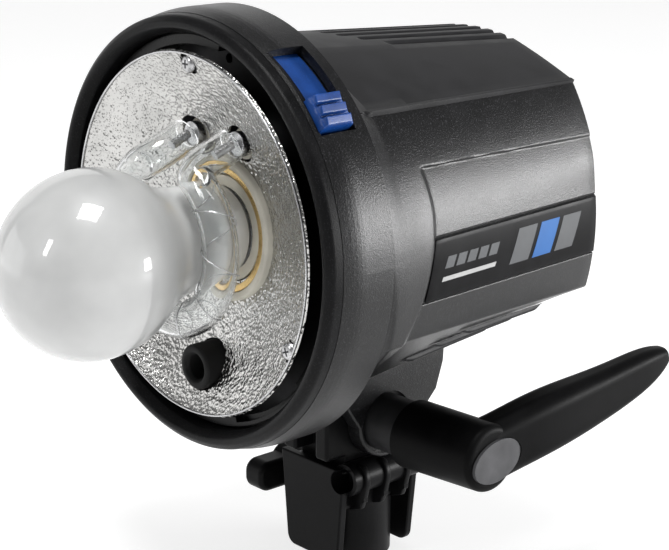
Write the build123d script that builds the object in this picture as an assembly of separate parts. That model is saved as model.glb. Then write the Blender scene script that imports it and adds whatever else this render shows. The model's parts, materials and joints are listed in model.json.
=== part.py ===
"""Monolight studio strobe: flash head, tilting stand bracket and clamp lever.

Units are millimetres. +X is the lever side, -Y is the direction of the light and
+Z is up. The origin is the centre of the mouth of the stand socket.
"""
import os
from math import asin, atan2, cos, degrees, radians, sin

from build123d import *

# ---- driving dimensions ---------------------------------------------------
AXIS_Z = 125.0            # optical axis above the socket mouth
TILT_Z = 51.5             # tilt axis above the socket mouth
RING_R = 70.0             # outer radius of the collar
RING_FRONT = -71.0        # frontmost crest of the ring
RING_BACK = -66.2         # parting line between ring and collar
PARTING_R = 68.7          # outer radius at the parting line
COLLAR_BACK = -47.5
SHOULDER_BACK = -41.0     # where the shoulder has come down to the housing
HOUSING_BACK = 55.2
PANEL_FRONT = 51.4        # rear panel, set into the housing's open end
PANEL_BACK = 54.2
WALL = 3.0
RECESS = 1.5              # depth of the sunk side panels
LIP_R = 62.6              # inner edge of the ring's lip
REFLECTOR_R = 57.3
CARRIER_FRONT = -52.0     # sheet disc that carries reflector, lamp holder and contacts
CARRIER_BACK = -50.4
SHAFT_CLEARANCE = 0.05    # radial, between a shaft and its hole

LAMP_BULB_R = 29.7
LAMP_CENTRE_Y = -112.0
LAMP_NECK_R = 16.5
LAMP_CAP_R = 13.1
TUBE_RING_R = 25.5        # centreline of the flash tube's ring
TUBE_GLASS_R = 5.5
TUBE_RING_Y = -76.5
CONTACT_X = 11.0          # flash tube contacts, beside and above the optical axis
CONTACT_Z = 29.0
UMBRELLA_Z = -43.5        # umbrella tube below the optical axis
UMBRELLA_BORE_R = 4.1
UMBRELLA_BACK = 56.0

SOCKET_R = 8.1            # bore for a 16 mm stand spigot
SOCKET_DEPTH = 40.0
SOCKET_TUBE_R = 13.8
SIDE_BORE_X = 13.9        # umbrella hole in the bracket
SIDE_BORE_Z = 33.0
KNOB_Z = 22.0
BOLT_R = 4.0
KNUCKLE_R = 13.0
KNUCKLE_HALF = 11.2       # half width of the bracket's knuckle
STOP_TOP = 55.5           # top of the stops in front of the knuckle
EAR_INNER = 12.0          # tilt ears, from their inner to their outer face
EAR_OUTER = 18.0
KEEL_Z = -52.0            # underside of the keel between the ears, below the optical axis
KEEL_FLAT = 27.0          # how far back the keel's underside stays level
KEEL_END_Z = -49.8        # its underside at the rear end
BELLY_X = 33.0            # half width of the flat underside
SHOULDER_X = 20.0         # half width of the grooved top

SLOT_START = 29.0         # lock slot in the collar, degrees from the top towards +X
SLOT_END = 55.4
SLOT_FRONT = -65.0
SLOT_BACK = -51.6
LOCK_TRAVEL = 15.0        # degrees the slider moves back to release a fitting
BUTTON_START = 45.5
BUTTON_END = 54.4

os.makedirs("parts", exist_ok=True)


# ---- small helpers ---------------------------------------------------------
def at(x, y, z):
    """Point given from the optical axis, moved to the part's frame."""
    return Vector(x, y, z + AXIS_Z)


def lathe(points):
    """Solid of revolution about the optical axis from (radius, y) points."""
    face = make_face(Polyline(*points, close=True))
    return Pos(0, 0, AXIS_Z) * revolve(face, Axis.Y)


def annulus(r_in, r_out, y0, y1):
    return lathe([(r_in, y0), (r_out, y0), (r_out, y1), (r_in, y1)])


def rod_y(x, z, r, y0, y1):
    """Cylinder along Y, from y0 to y1, at (x, z) from the optical axis."""
    return Pos(at(x, (y0 + y1) / 2, z)) * Rot(90, 0, 0) * Cylinder(r, abs(y1 - y0))


def rod_x(y, z, r, x0, x1):
    """Cylinder along X, from x0 to x1, at (y, z) in the part's frame."""
    return Pos((x0 + x1) / 2, y, z) * Rot(0, 90, 0) * Cylinder(r, abs(x1 - x0))


def rod_z(x, y, r, z0, z1):
    return Pos(x, y, (z0 + z1) / 2) * Cylinder(r, z1 - z0)


def block(x0, x1, y0, y1, z0, z1):
    """Box between two corners in the part's frame."""
    return Pos((x0 + x1) / 2, (y0 + y1) / 2, (z0 + z1) / 2) * Box(x1 - x0, y1 - y0, z1 - z0)


def head_block(x0, x1, y0, y1, z0, z1):
    """Box between two corners given from the optical axis."""
    return block(x0, x1, y0, y1, z0 + AXIS_Z, z1 + AXIS_Z)


def slab_x(points, x0, x1):
    """Outline of (y, z) points in the part's frame, extruded from x0 to x1."""
    face = make_face(Polyline(*[(x0, y, z) for y, z in points], close=True))
    return extrude(face, amount=x1 - x0, dir=(1, 0, 0))


def slab_y(points, y0, y1):
    """Outline of (x, z) points in the part's frame, extruded from y0 to y1."""
    face = make_face(Polyline(*[(x, y0, z) for x, z in points], close=True))
    return extrude(face, amount=y1 - y0, dir=(0, 1, 0))


def sector(r_in, r_out, y0, y1, start, end):
    """Part of an annulus between two angles from the top towards +X."""
    reach = 2.0 * RING_R
    fan = [(0, AXIS_Z)]
    steps = 8
    for i in range(steps + 1):
        a = radians(start + (end - start) * i / steps)
        fan.append((reach * sin(a), AXIS_Z + reach * cos(a)))
    return annulus(r_in, r_out, y0, y1) & slab_y(fan, y0 - 1, y1 + 1)


def rounded(shape, axis, radius):
    """Rounds the edges that run along an axis."""
    return fillet(shape.edges().filter_by(axis), radius)


def save(name, *solids):
    flat = []
    for shape in solids:
        flat.extend(shape.solids())
    export_step(flat[0] if len(flat) == 1 else Compound(children=flat), f"parts/{name}.step")


# ---- housing section -------------------------------------------------------
def mix(a, b, t):
    return a + (b - a) * t


def section_sizes(y):
    """Half section at y, from the optical axis.

    Top height, shoulder z and bulge, corner x and z, side x, low corner x and z, belly z.
    """
    front = (69.2, 66.6, 4.2, 54.6, 43.4, 69.4, 64.2, -27.0, -52.0)
    middle = (59.4, 57.4, 0.8, 51.8, 42.6, 68.2, 64.0, -27.0, -51.2)
    back = (54.2, 51.8, 0.4, 46.4, 41.2, 60.4, 57.6, -28.0, -39.6)
    if y <= SHOULDER_BACK:
        t = (y - COLLAR_BACK) / (SHOULDER_BACK - COLLAR_BACK)
        return [mix(a, b, t) for a, b in zip(front, middle)]
    t = (y - SHOULDER_BACK) / (HOUSING_BACK - SHOULDER_BACK)
    return [mix(a, b, t) for a, b in zip(middle, back)]


def housing_face(y, inset):
    """Housing outline at y, moved inwards by inset."""
    top, shoulder_z, bulge, corner_x, corner_z, side, low_x, low_z, belly_z = section_sizes(y)
    top -= inset
    shoulder_x = SHOULDER_X - 0.3 * inset
    shoulder_z -= inset
    side -= inset
    corner_x -= 0.9 * inset
    corner_z -= 0.9 * inset
    low_x -= inset
    low_z += 0.35 * inset
    belly_x = BELLY_X - 0.5 * inset
    belly_z += inset
    slope_x = (shoulder_x + corner_x) / 2 + 0.35 * bulge
    slope_z = (shoulder_z + corner_z) / 2 + 0.94 * bulge
    edges = [ThreePointArc(at(-shoulder_x, y, shoulder_z), at(0, y, top), at(shoulder_x, y, shoulder_z))]
    for s in (1, -1):
        low, belly = at(s * low_x, y, low_z), at(s * belly_x, y, belly_z)
        corner = at(s * corner_x, y, corner_z)
        edges.append(ThreePointArc(at(s * shoulder_x, y, shoulder_z), at(s * slope_x, y, slope_z), corner))
        edges.append(ThreePointArc(corner, at(s * side, y, 1), low))
        edges.append(Line(low, belly))
    edges.append(Line(at(belly_x, y, belly_z), at(-belly_x, y, belly_z)))
    return make_face(edges)


def belly_at(y):
    """Height of the underside of the housing at y, in the part's frame."""
    return AXIS_Z + section_sizes(y)[-1]


def housing_solid(inset):
    """Housing envelope from the collar to the rear panel."""
    stations = [COLLAR_BACK, SHOULDER_BACK, HOUSING_BACK]
    faces = [housing_face(y, inset) for y in stations]
    return loft(faces[:2], ruled=True) + loft(faces[1:], ruled=True)


def side_recess():
    """Outline of the sunk side panel, behind the raised front band."""
    z = AXIS_Z
    outline = [(-29, z + 26), (-28, z + 12), (-29, z + 2), (-33, z - 14), (-37, z - 23.5),
               (HOUSING_BACK + 1, z - 24.5), (HOUSING_BACK + 1, z + 24)]
    return slab_x(outline, -80, 80)


def above_seam(offset):
    """Space above the seam between lower shell and top cover."""
    y0, y1 = COLLAR_BACK - 1, HOUSING_BACK + 1
    z0, z1 = AXIS_Z + 43.3 + offset, AXIS_Z + 41.5 + offset
    return slab_x([(y0, z0), (y1, z1), (y1, 230), (y0, 230)], -90, 90)


# ---- front ring, collar and bayonet ----------------------------------------
def front_ring():
    back = RING_BACK
    crest = [(66.0 + 2.7 * sin(radians(a)), back - 0.8 - 4.0 * cos(radians(a)))
             for a in range(0, 91, 15)]
    face = [(64.6, RING_FRONT + 0.35), (LIP_R, RING_FRONT + 3.6), (LIP_R, back), (64.9, back),
            (64.9, back + 2.6), (66.9, back + 2.6), (66.9, back), (PARTING_R, back)]
    ring = lathe(crest + face[::-1])
    notch = sector(64, 68, back + 0.01, back + 3, SLOT_START - LOCK_TRAVEL - 5, SLOT_END + LOCK_TRAVEL + 3)
    return ring - notch


def collar():
    front = RING_BACK + 0.05
    swell = [(mix(PARTING_R, RING_R, sin(radians(a))), mix(front, -58.5, a / 90)) for a in range(0, 91, 18)]
    tube = lathe([(67.2, front)] + swell + [(RING_R, COLLAR_BACK), (67.2, COLLAR_BACK)])
    back_wall = annulus(58.0, 67.3, COLLAR_BACK - 2.0, COLLAR_BACK)
    slot = sector(60, 80, SLOT_FRONT, SLOT_BACK, SLOT_START, SLOT_END)
    return tube + back_wall - slot


def bayonet_seat():
    return annulus(59.5, 63.6, -59.2, CARRIER_FRONT)


def lock_ring():
    ring = annulus(58.9, 61.9, -64.3, -59.6) + annulus(61.8, 64.5, -61.2, -59.6)
    for start in (10, 130, 250):
        ring -= sector(58, 60.6, -64.4, -61.4, start, start + 34)
    arm = sector(64.2, 65.2, -61.2, -59.6, BUTTON_START, BUTTON_END)
    return ring + arm


def lock_slider():
    """Blue thumb slider: a plate under the slot and a button with three ridges."""
    front, back = SLOT_FRONT + 0.4, SLOT_BACK - 0.4
    plate = sector(65.25, 66.85, front, back, SLOT_START - 1, SLOT_END + LOCK_TRAVEL + 1)
    button = sector(66.8, 71.6, front, back, BUTTON_START, BUTTON_END)
    pitch = (BUTTON_END - BUTTON_START) / 3
    for i in range(3):
        start = BUTTON_START + 0.4 + i * pitch
        button += sector(71.5, 73.2, front + 0.7, back - 0.7, start, start + 0.6 * pitch)
    return plate + button


# ---- light: reflector, lamps, tubes ----------------------------------------
def dish_y(r):
    """Depth of the reflector's front face at a radius."""
    return -53.6 - 16.6 * (max(r - 17.0, 0.0) / (REFLECTOR_R - 17.0)) ** 1.5


def reflector():
    radii = [17.2, 22, 28, 34, 40, 46, 52, REFLECTOR_R]
    front = [(r, dish_y(r)) for r in radii]
    back = [(r, dish_y(r) + 0.9) for r in reversed(radii)]
    dish = lathe(front + back)
    dish -= rod_y(0, UMBRELLA_Z, 7.9, -75, -45)
    for side in (-1, 1):
        dish -= rod_y(side * CONTACT_X, CONTACT_Z, 6.0, -75, -45)
    seat = dish_y(53.5) + 0.4
    for x, z in screw_places():
        dish += rod_y(x, z, 4.4, seat - 0.2, seat + 0.7)
        dish -= rod_y(x, z, 3.5, -75, seat)
        dish -= rod_y(x, z, 1.6, -75, -45)
    return dish


def screw_places():
    """Reflector screws: three places round the rim."""
    return [(53.5 * sin(radians(a)), 53.5 * cos(radians(a))) for a in (0, 120, 240)]


def reflector_screw(x, z):
    seat = dish_y(53.5) + 0.38
    head = rod_y(x, z, 2.9, seat - 1.6, seat)
    return head + rod_y(x, z, 1.5, seat - 0.1, CARRIER_BACK)


def carrier():
    plate = annulus(17.4, 66.6, CARRIER_FRONT, CARRIER_BACK)
    plate -= rod_y(0, UMBRELLA_Z, 5.3, -60, -40)
    for side in (-1, 1):
        plate -= rod_y(side * CONTACT_X, CONTACT_Z, 5.2, -60, -40)
    for x, z in screw_places():
        plate -= rod_y(x, z, 1.55, -60, -40)
    return plate


def umbrella_tube():
    """Guide tube for an umbrella shaft, through the head and its keel."""
    front = RING_FRONT + 3.0
    tube = rod_y(0, UMBRELLA_Z, 5.0, front, UMBRELLA_BACK)
    grommet = rod_y(0, UMBRELLA_Z, 7.4, front, CARRIER_FRONT - 0.2)
    grommet = fillet(grommet.edges().sort_by(Axis.Y)[0], 1.6)
    return tube + grommet - rod_y(0, UMBRELLA_Z, UMBRELLA_BORE_R, front - 1, UMBRELLA_BACK + 1)


def lamp_holder():
    body = annulus(13.6, 17.0, -54.6, -30.0)
    return body + annulus(0, 17.0, -30.0, -25.0)


def lamp_cap():
    """Screw cap with three rolled threads and a contact button."""
    points = [(0, -54.5), (LAMP_CAP_R, -54.5)]
    for i in range(5):
        y = -52.5 + 3.6 * i
        points += [(LAMP_CAP_R, y), (LAMP_CAP_R - 0.9, y + 1.8)]
    points += [(8.0, -32.4), (4.6, -31.0), (4.6, -30.3), (0, -30.3)]
    return lathe(points)


def bulb_points(shrink):
    """Profile of the lamp's glass, from tip to neck."""
    r = LAMP_BULB_R - shrink
    sweep = [(r * sin(radians(a)), LAMP_CENTRE_Y - r * cos(radians(a))) for a in range(0, 121, 8)]
    neck_r = LAMP_NECK_R - shrink
    return sweep + [(21.5 - shrink, -90.0), (18.6 - shrink, -83.0), (neck_r, -75.0),
                    (neck_r - 0.6, -62.0), (12.6 - shrink, -54.7)]


def lamp_glass():
    outer = bulb_points(0.0)
    inner = bulb_points(1.0)
    return lathe(outer + list(reversed(inner)))


def ring_angle():
    """Half opening of the flash tube's ring, where its legs leave it."""
    return degrees(asin(10.0 / TUBE_RING_R))


def flash_tube():
    """Glass ring with two legs that lean out to the contacts."""
    opening = ring_angle()
    ring = Pos(at(0, TUBE_RING_Y, 0)) * Rot(90, 0, 0) * Torus(TUBE_RING_R, TUBE_GLASS_R)
    gap = [(0, AXIS_Z)]
    for a in (-opening, 0, opening):
        gap.append((60 * sin(radians(a)), AXIS_Z + 60 * cos(radians(a))))
    tube = ring - slab_y(gap, TUBE_RING_Y - 8, TUBE_RING_Y + 8)
    for side in (-1, 1):
        start = at(side * 10.0, TUBE_RING_Y, TUBE_RING_R * cos(radians(opening)))
        end = at(side * CONTACT_X, -61.0, CONTACT_Z)
        tube += Pos(start) * Sphere(TUBE_GLASS_R)
        tube += tilted_rod(start, end, TUBE_GLASS_R)
    return tube


def tilted_rod(start, end, r):
    run = end - start
    return Plane(origin=start, z_dir=run) * Pos(0, 0, run.length / 2) * Cylinder(r, run.length)


def tube_pins():
    """Metal end caps and pins of the flash tube, in their contacts."""
    pins = []
    for side in (-1, 1):
        cap = rod_y(side * CONTACT_X, CONTACT_Z, 4.0, -58.8, -55.5)
        pins.append(cap + rod_y(side * CONTACT_X, CONTACT_Z, 1.9, -55.6, -44.0))
    return pins


def tube_contacts():
    contacts = []
    for side in (-1, 1):
        body = rod_y(side * CONTACT_X, CONTACT_Z, 5.0, -55.3, -40.0)
        contacts.append(body - rod_y(side * CONTACT_X, CONTACT_Z, 1.95, -56, -43.5))
    return contacts


def trigger_wire():
    """Thin starting wire that runs round the ring, in front of the glass."""
    wire = Pos(at(0, TUBE_RING_Y - TUBE_GLASS_R - 0.7, 0)) * Rot(90, 0, 0) * Torus(TUBE_RING_R, 0.4)
    gap = slab_y([(0, AXIS_Z), (-30, AXIS_Z + 45), (30, AXIS_Z + 45)], -90, -70)
    return wire - gap


# ---- housing shells ---------------------------------------------------------
def lower_shell():
    shell = housing_solid(0.0) - housing_solid(WALL)
    shell -= above_seam(-0.15)
    shell -= side_recess() - housing_solid(RECESS)
    shell += keel() - housing_solid(WALL)
    shell -= rod_y(0, UMBRELLA_Z, 5.05, COLLAR_BACK - 1, HOUSING_BACK + 1)
    return shell - head_block(-90, 90, COLLAR_BACK - 1, COLLAR_BACK + 0.1, -80, 80)


def keel():
    """Block under the belly, between the tilt ears, that the umbrella tube runs through."""
    front = COLLAR_BACK + 0.1
    low = AXIS_Z + KEEL_Z
    outline = [(front, low), (KEEL_FLAT, low), (HOUSING_BACK, AXIS_Z + KEEL_END_Z),
               (HOUSING_BACK, belly_at(HOUSING_BACK) + 1), (front, low + 1)]
    return slab_x(outline, -EAR_INNER + 0.05, EAR_INNER - 0.05)


def top_cover():
    cover = (housing_solid(0.0) - housing_solid(WALL)) & above_seam(0.15)
    floor = housing_solid(1.6)
    for i in range(-3, 4):
        x = 6.0 * i
        start = -14.2 + 0.036 * x * x
        cover -= head_block(x - 0.9, x + 0.9, start, HOUSING_BACK + 1, 45, 60) - floor
    return cover - head_block(-90, 90, COLLAR_BACK - 1, COLLAR_BACK + 0.1, -80, 80)


def side_badge(side):
    """Thin plain label strip on the sunk side panel."""
    skin = housing_solid(RECESS - 0.6) - housing_solid(RECESS - 0.02)
    strip = side_recess() & head_block(0, 90, -28.5, HOUSING_BACK, -15, 4.0)
    badge = skin & strip
    return badge if side > 0 else mirror(badge, Plane.YZ)


def belly_louvres():
    """Three long ribs on the slanting facet at each side of the underside."""
    ribs = []
    for share in (0.30, 0.52, 0.74):
        faces = [rib_face(y, share) for y in (-12.0, HOUSING_BACK - 12.0)]
        rib = loft(faces, ruled=True)
        ribs += [rib, mirror(rib, Plane.YZ)]
    return ribs


def rib_face(y, share):
    """Cross section of a rib at y, at a share of the way from the low corner to the belly."""
    low_x, low_z, belly_z = section_sizes(y)[6:]
    run = Vector(BELLY_X - low_x, 0, belly_z - low_z)
    foot = at(low_x, y, low_z) + run * share
    along = run.normalized()
    out = Vector(-along.Z, 0, along.X) * -1.0
    if out.Z > 0:
        out = out * -1.0
    corners = [foot - along * 0.8 + out * 0.03, foot + along * 0.8 + out * 0.03,
               foot + along * 0.6 + out * 1.5, foot - along * 0.6 + out * 1.5]
    return make_face(Polyline(*corners, close=True))


def tilt_ear(side):
    """Ear that hangs from the belly and holds the tilt bolt."""
    foot_drop = [(-25, belly_at(-25) - 0.02), (27, belly_at(27) - 0.02), (26.2, 66.0), (23.5, 58.0)]
    turns = [radians(a) for a in range(-30, -181, -15)]
    round_end = [(12.4 * cos(a), TILT_Z + 12.4 * sin(a)) for a in turns]
    outline = foot_drop + round_end + [(-18.0, 60.0), (-25.0, 62.0)]
    ear = slab_x(outline, EAR_INNER, EAR_OUTER)
    rim = ear.edges().group_by(Axis.X)[-1].filter_by(lambda e: e.center().Z < AXIS_Z + KEEL_Z)
    ear = fillet(rim, 0.8)
    ear -= rod_x(0, TILT_Z, 11.0, EAR_OUTER - 2.2, EAR_OUTER + 1)
    ear -= rod_x(0, TILT_Z, BOLT_R + SHAFT_CLEARANCE, 0, 30)
    return ear if side > 0 else mirror(ear, Plane.YZ)


def tilt_nut():
    nut = extrude(Plane.YZ * RegularPolygon(7.5, 6), amount=5.0)
    nut = Pos(-EAR_OUTER - 2.9, 0, TILT_Z) * nut
    return nut - rod_x(0, TILT_Z, BOLT_R + SHAFT_CLEARANCE, -30, 0)


# ---- rear panel and its controls ---------------------------------------------
BUTTON_PLACES = [(-30, 14), (-18, 14), (-6, 14), (6, 14), (18, 14), (30, 14)]
BUTTON_R = 4.0
DISPLAY = (0.0, 31.0, 32.0, 14.0)        # centre x, centre z, width, height
INLET = (-22.0, -18.0, 28.0, 21.0)
ROCKER = (12.0, -18.0, 14.0, 21.0)
FUSE = (34.0, -18.0, 13.0, 13.0)
SYNC_PLACE = (-37.0, 31.0)
CELL_PLACE = (37.0, 31.0)


def window(place, grow, y0, y1):
    """Rectangular block for a panel item, grown by a margin."""
    x, z, w, h = place
    return head_block(x - w / 2 - grow, x + w / 2 + grow, y0, y1, z - h / 2 - grow, z + h / 2 + grow)


def rear_panel():
    inset = WALL + 0.1
    panel = loft([housing_face(PANEL_FRONT, inset), housing_face(PANEL_BACK, inset)], ruled=True)
    depth = (PANEL_FRONT - 1, PANEL_BACK + 1)
    for place in (DISPLAY, INLET, ROCKER, FUSE):
        panel -= window(place, 0.05, *depth)
    for x, z in BUTTON_PLACES:
        panel -= rod_y(x, z, BUTTON_R + 0.1, *depth)
    panel -= rod_y(SYNC_PLACE[0], SYNC_PLACE[1], 3.05, *depth)
    panel -= rod_y(CELL_PLACE[0], CELL_PLACE[1], 4.05, *depth)
    for i in range(-4, 5):
        x = 6.0 * i
        low = 42.5 - 0.004 * x * x
        panel -= head_block(x - 1.2, x + 1.2, *depth, low, low + 5)
    return panel


def panel_button(x, z):
    cap = rod_y(x, z, BUTTON_R, PANEL_FRONT - 2.0, PANEL_BACK + 1.2)
    cap = fillet(cap.edges().sort_by(Axis.Y)[-1], 0.8)
    return cap + rod_y(x, z, 1.5, PANEL_FRONT - 3.4, PANEL_FRONT - 1.9)


def display_window():
    return window(DISPLAY, 0.0, PANEL_FRONT + 0.6, PANEL_BACK - 0.2)


def mains_inlet():
    body = window(INLET, 0.0, PANEL_FRONT - 22, PANEL_BACK + 0.8)
    x, z, w, h = INLET
    return body - window((x, z, w - 4.0, h - 4.5), 0.0, PANEL_BACK - 17, PANEL_BACK + 2)


def inlet_pins():
    x, z = INLET[0], INLET[1]
    pins = []
    for dx, dz in ((-7.0, -2.5), (7.0, -2.5), (0.0, 2.5)):
        px, pz = x + dx, z + dz
        pins.append(head_block(px - 1, px + 1, PANEL_BACK - 16.98, PANEL_BACK - 3, pz - 2, pz + 2))
    return pins


ROCKER_PIVOT_Y = PANEL_BACK - 2.0
ROCKER_PIVOT_R = 1.0


def rocker_frame():
    frame = window(ROCKER, 0.0, PANEL_FRONT - 14, PANEL_BACK + 0.8)
    x, z, w, h = ROCKER
    frame -= window((x, z, w - 3.0, h - 3.0), 0.0, PANEL_BACK - 8, PANEL_BACK + 2)
    hole_r = ROCKER_PIVOT_R + SHAFT_CLEARANCE
    return frame - rod_x(ROCKER_PIVOT_Y, z + AXIS_Z, hole_r, x - w / 2 + 0.5, x + w / 2 - 0.5)


def rocker_switch():
    """Rocker with two sloping faces, on a pivot across its middle."""
    x, z, w, h = ROCKER
    half_w, half_h = w / 2 - 1.75, h / 2 - 2.6
    y = PANEL_BACK
    outline = [(y - 4.5, -half_h + 1.6), (y + 2.6, -half_h), (y + 0.6, 0.0), (y + 1.2, half_h),
               (y - 4.5, half_h - 1.6)]
    rocker = slab_x([(py, pz + z + AXIS_Z) for py, pz in outline], x - half_w, x + half_w)
    pivot = rod_x(ROCKER_PIVOT_Y, z + AXIS_Z, ROCKER_PIVOT_R, x - w / 2 + 0.7, x + w / 2 - 0.7)
    return rocker + pivot


def fuse_sleeve():
    sleeve = window(FUSE, 0.0, PANEL_FRONT - 20, PANEL_BACK + 0.5)
    return sleeve - rod_y(FUSE[0], FUSE[1], 4.7, PANEL_BACK - 20, PANEL_BACK + 2)


def fuse_cap():
    x, z = FUSE[0], FUSE[1]
    cap = rod_y(x, z, 4.55, PANEL_BACK - 18, PANEL_BACK + 2.6)
    return cap - head_block(x - 3.4, x + 3.4, PANEL_BACK + 1.4, PANEL_BACK + 3, z - 0.6, z + 0.6)


def sync_jack():
    jack = rod_y(*SYNC_PLACE, 3.0, PANEL_FRONT - 14, PANEL_BACK + 0.4)
    jack += rod_y(*SYNC_PLACE, 4.4, PANEL_BACK + 0.02, PANEL_BACK + 1.4)
    return jack - rod_y(*SYNC_PLACE, 1.8, PANEL_BACK - 14, PANEL_BACK + 3)


def photocell_dome():
    stem = rod_y(*CELL_PLACE, 4.0, PANEL_FRONT - 2, PANEL_BACK)
    dome = Pos(at(CELL_PLACE[0], PANEL_BACK, CELL_PLACE[1])) * Sphere(4.0)
    return stem + dome


def panel_screws():
    places = [(-46, 23), (46, 23), (-48, -22), (48, -22)]
    return [rod_y(x, z, 2.6, PANEL_BACK + 0.02, PANEL_BACK + 1.0) for x, z in places]


# ---- electronics ----------------------------------------------------------------
FAN = (0.0, 12.0, 33.0, 25.0)            # centre x, centre y, underside z, half width


def capacitors():
    return [rod_y(side * 22.0, -16.0, 14.0, -20, 28) for side in (-1, 1)]


def main_board():
    return head_block(-50, 50, -22, 44, 4.0, 5.6)


def board_parts():
    parts = [head_block(-44, -26, -18, 2, 5.62, 20), head_block(26, 44, -18, 0, 5.62, 17)]
    parts += [rod_z(34, 12 + 14 * i, 5.0, AXIS_Z + 5.62, AXIS_Z + 24) for i in range(2)]
    parts += [rod_z(-34, 14 + 13 * i, 4.0, AXIS_Z + 5.62, AXIS_Z + 18) for i in range(2)]
    return parts


def control_board():
    board = head_block(-42, 42, 45.2, 46.8, 7.5, 38)
    return board - rod_y(SYNC_PLACE[0], SYNC_PLACE[1], 3.3, 40, 50)


def trigger_coil():
    return rod_y(-36, 14, 9.0, -48.5, -27) + rod_y(-36, 14, 3.0, -50.2, -48.4)


def fan_frame():
    x, y, z, half = FAN
    frame = head_block(x - half, x + half, y - half, y + half, z, z + 10)
    frame -= rod_z(x, y, half - 1.5, AXIS_Z + z + 1.5, AXIS_Z + z + 11)
    for i in range(4):
        turn = radians(90 * i + 45)
        hole = rod_z(x + 14 * cos(turn), y + 14 * sin(turn), 6.0, AXIS_Z + z - 1, AXIS_Z + z + 2)
        frame -= hole
    return frame


def fan_impeller():
    x, y, z, half = FAN
    hub = rod_z(x, y, 10.0, AXIS_Z + z + 2.0, AXIS_Z + z + 9.5)
    for i in range(7):
        blade = Pos(x, y, AXIS_Z + z + 5.6) * Rot(0, 0, 360 / 7 * i) * Pos(15.6, 0, 0) * Rot(32, 0, 0)
        hub += blade * Box(12.6, 1.4, 8.4)
    return hub


# ---- stand bracket -------------------------------------------------------------
def stand_bracket():
    top = 36.0
    tube = rod_z(0, 0, SOCKET_TUBE_R, 0, top)
    body = fillet(tube.edges().group_by(Axis.Z)[0], 0.8)
    body += rounded(block(-13.0, 13.0, -15.4, 15.4, 21, top), Axis.Y, 2.0)
    body += block(-KNUCKLE_HALF, KNUCKLE_HALF, -KNUCKLE_R, KNUCKLE_R, top - 1, TILT_Z)
    knuckle = rod_x(0, TILT_Z, KNUCKLE_R, -KNUCKLE_HALF, KNUCKLE_HALF)
    body += fillet(knuckle.edges(), 0.8)
    body += apron(-18.4, -15.3, 16.0, 12.8, 2.6)
    body += apron(15.3, 18.2, 15.5, 11.5, 1.0)
    barrel_z = SIDE_BORE_Z - AXIS_Z
    body += rod_y(SIDE_BORE_X, barrel_z, 5.6, -15.5, 15.5)
    for y in (-10.8, -1.4, 8.2):
        fin = block(12.0, 19.2, y - 1.0, y + 1.0, 25.0, SIDE_BORE_Z + 1.5)
        body += rounded(fin, Axis.Y, 0.9)
    body += rod_x(0, KNOB_Z, 8.0, -20.0, -10.0)
    body += knuckle_stop(1) + knuckle_stop(-1)
    body -= rod_z(0, 0, SOCKET_R, -1, SOCKET_DEPTH)
    body -= rod_y(SIDE_BORE_X, barrel_z, UMBRELLA_BORE_R, -20, 20)
    body -= rod_x(0, TILT_Z, BOLT_R + SHAFT_CLEARANCE, -20, 20)
    return body - rod_x(0, KNOB_Z, 6.5, -21.0, -14.0) - rod_x(0, KNOB_Z, 4.2, -15.0, 0)


def knuckle_stop(side):
    """Upright stop on the front of the knuckle, which the belly meets at full tilt."""
    x0, x1 = sorted((side * 5.0, side * KNUCKLE_HALF))
    stop = block(x0, x1, -21.5, -8.0, 40.0, STOP_TOP)
    stop = rounded(stop, Axis.Z, 1.2)
    low = stop.edges().filter_by(Axis.X).group_by(Axis.Z)[0].sort_by(Axis.Y)[0]
    return fillet(low, 1.1)


def apron(y0, y1, top_half, bottom_half, bottom):
    """Tapered wall in front of or behind the socket tube."""
    top = 37.0
    outline = [(-top_half, top), (top_half, top), (bottom_half, bottom), (-bottom_half, bottom)]
    wall = slab_y(outline, y0, y1)
    low = wall.edges().filter_by(Axis.Y).group_by(Axis.Z)[0]
    wall = fillet(low, 4.0)
    return fillet(wall.edges().group_by(Axis.Y)[0] + wall.edges().group_by(Axis.Y)[-1], 0.7)


def knob_insert():
    return rod_x(0, KNOB_Z, 6.45, -20.6, -14.05) - rod_x(0, KNOB_Z, BOLT_R + SHAFT_CLEARANCE, -30, 0)


def clamp_screw():
    return rod_x(0, KNOB_Z, BOLT_R, -30.0, -8.5)


def clamp_knob():
    """T-shaped knob: a round hub with two wings."""
    hub = rod_x(0, KNOB_Z, 8.0, -36.0, -22.0) - rod_x(0, KNOB_Z, BOLT_R, -30.0, -20)
    wing = block(-35.5, -26.0, -19.5, 19.5, KNOB_Z - 5.5, KNOB_Z + 5.5)
    wing = rounded(wing, Axis.X, 4.5)
    wing = fillet(wing.edges(), 1.8) - rod_x(0, KNOB_Z, BOLT_R + 1, -30.0, -20)
    hub = fillet(hub.edges().group_by(Axis.X)[0], 1.5)
    return hub + wing


def tilt_washers():
    ring = rod_x(0, TILT_Z, 12.0, KNUCKLE_HALF + 0.1, EAR_INNER - 0.15)
    ring -= rod_x(0, TILT_Z, BOLT_R + 0.2, 0, 30)
    return [ring, mirror(ring, Plane.YZ)]


# ---- clamp lever -----------------------------------------------------------------
HUB_START = 31.5
HUB_END = 67.0
CORE_END = 50.0
WEB_START = 50.6          # web in the handle's bore that the spring pushes on
WEB_END = 52.6


def tilt_bolt():
    bolt = rod_x(0, TILT_Z, BOLT_R, -EAR_OUTER - 4.6, 16.2)
    core = rod_x(0, TILT_Z, 7.0, HUB_START + 0.6, CORE_END)
    return bolt + rod_x(0, TILT_Z, BOLT_R, 16.0, HUB_START + 1) + core


def lever_spacer():
    """Plain sleeve between the ear's recess and the lever's hub."""
    sleeve = rod_x(0, TILT_Z, 9.8, 16.1, 30.0)
    return sleeve - rod_x(0, TILT_Z, BOLT_R + SHAFT_CLEARANCE, 10, 40)


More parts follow.
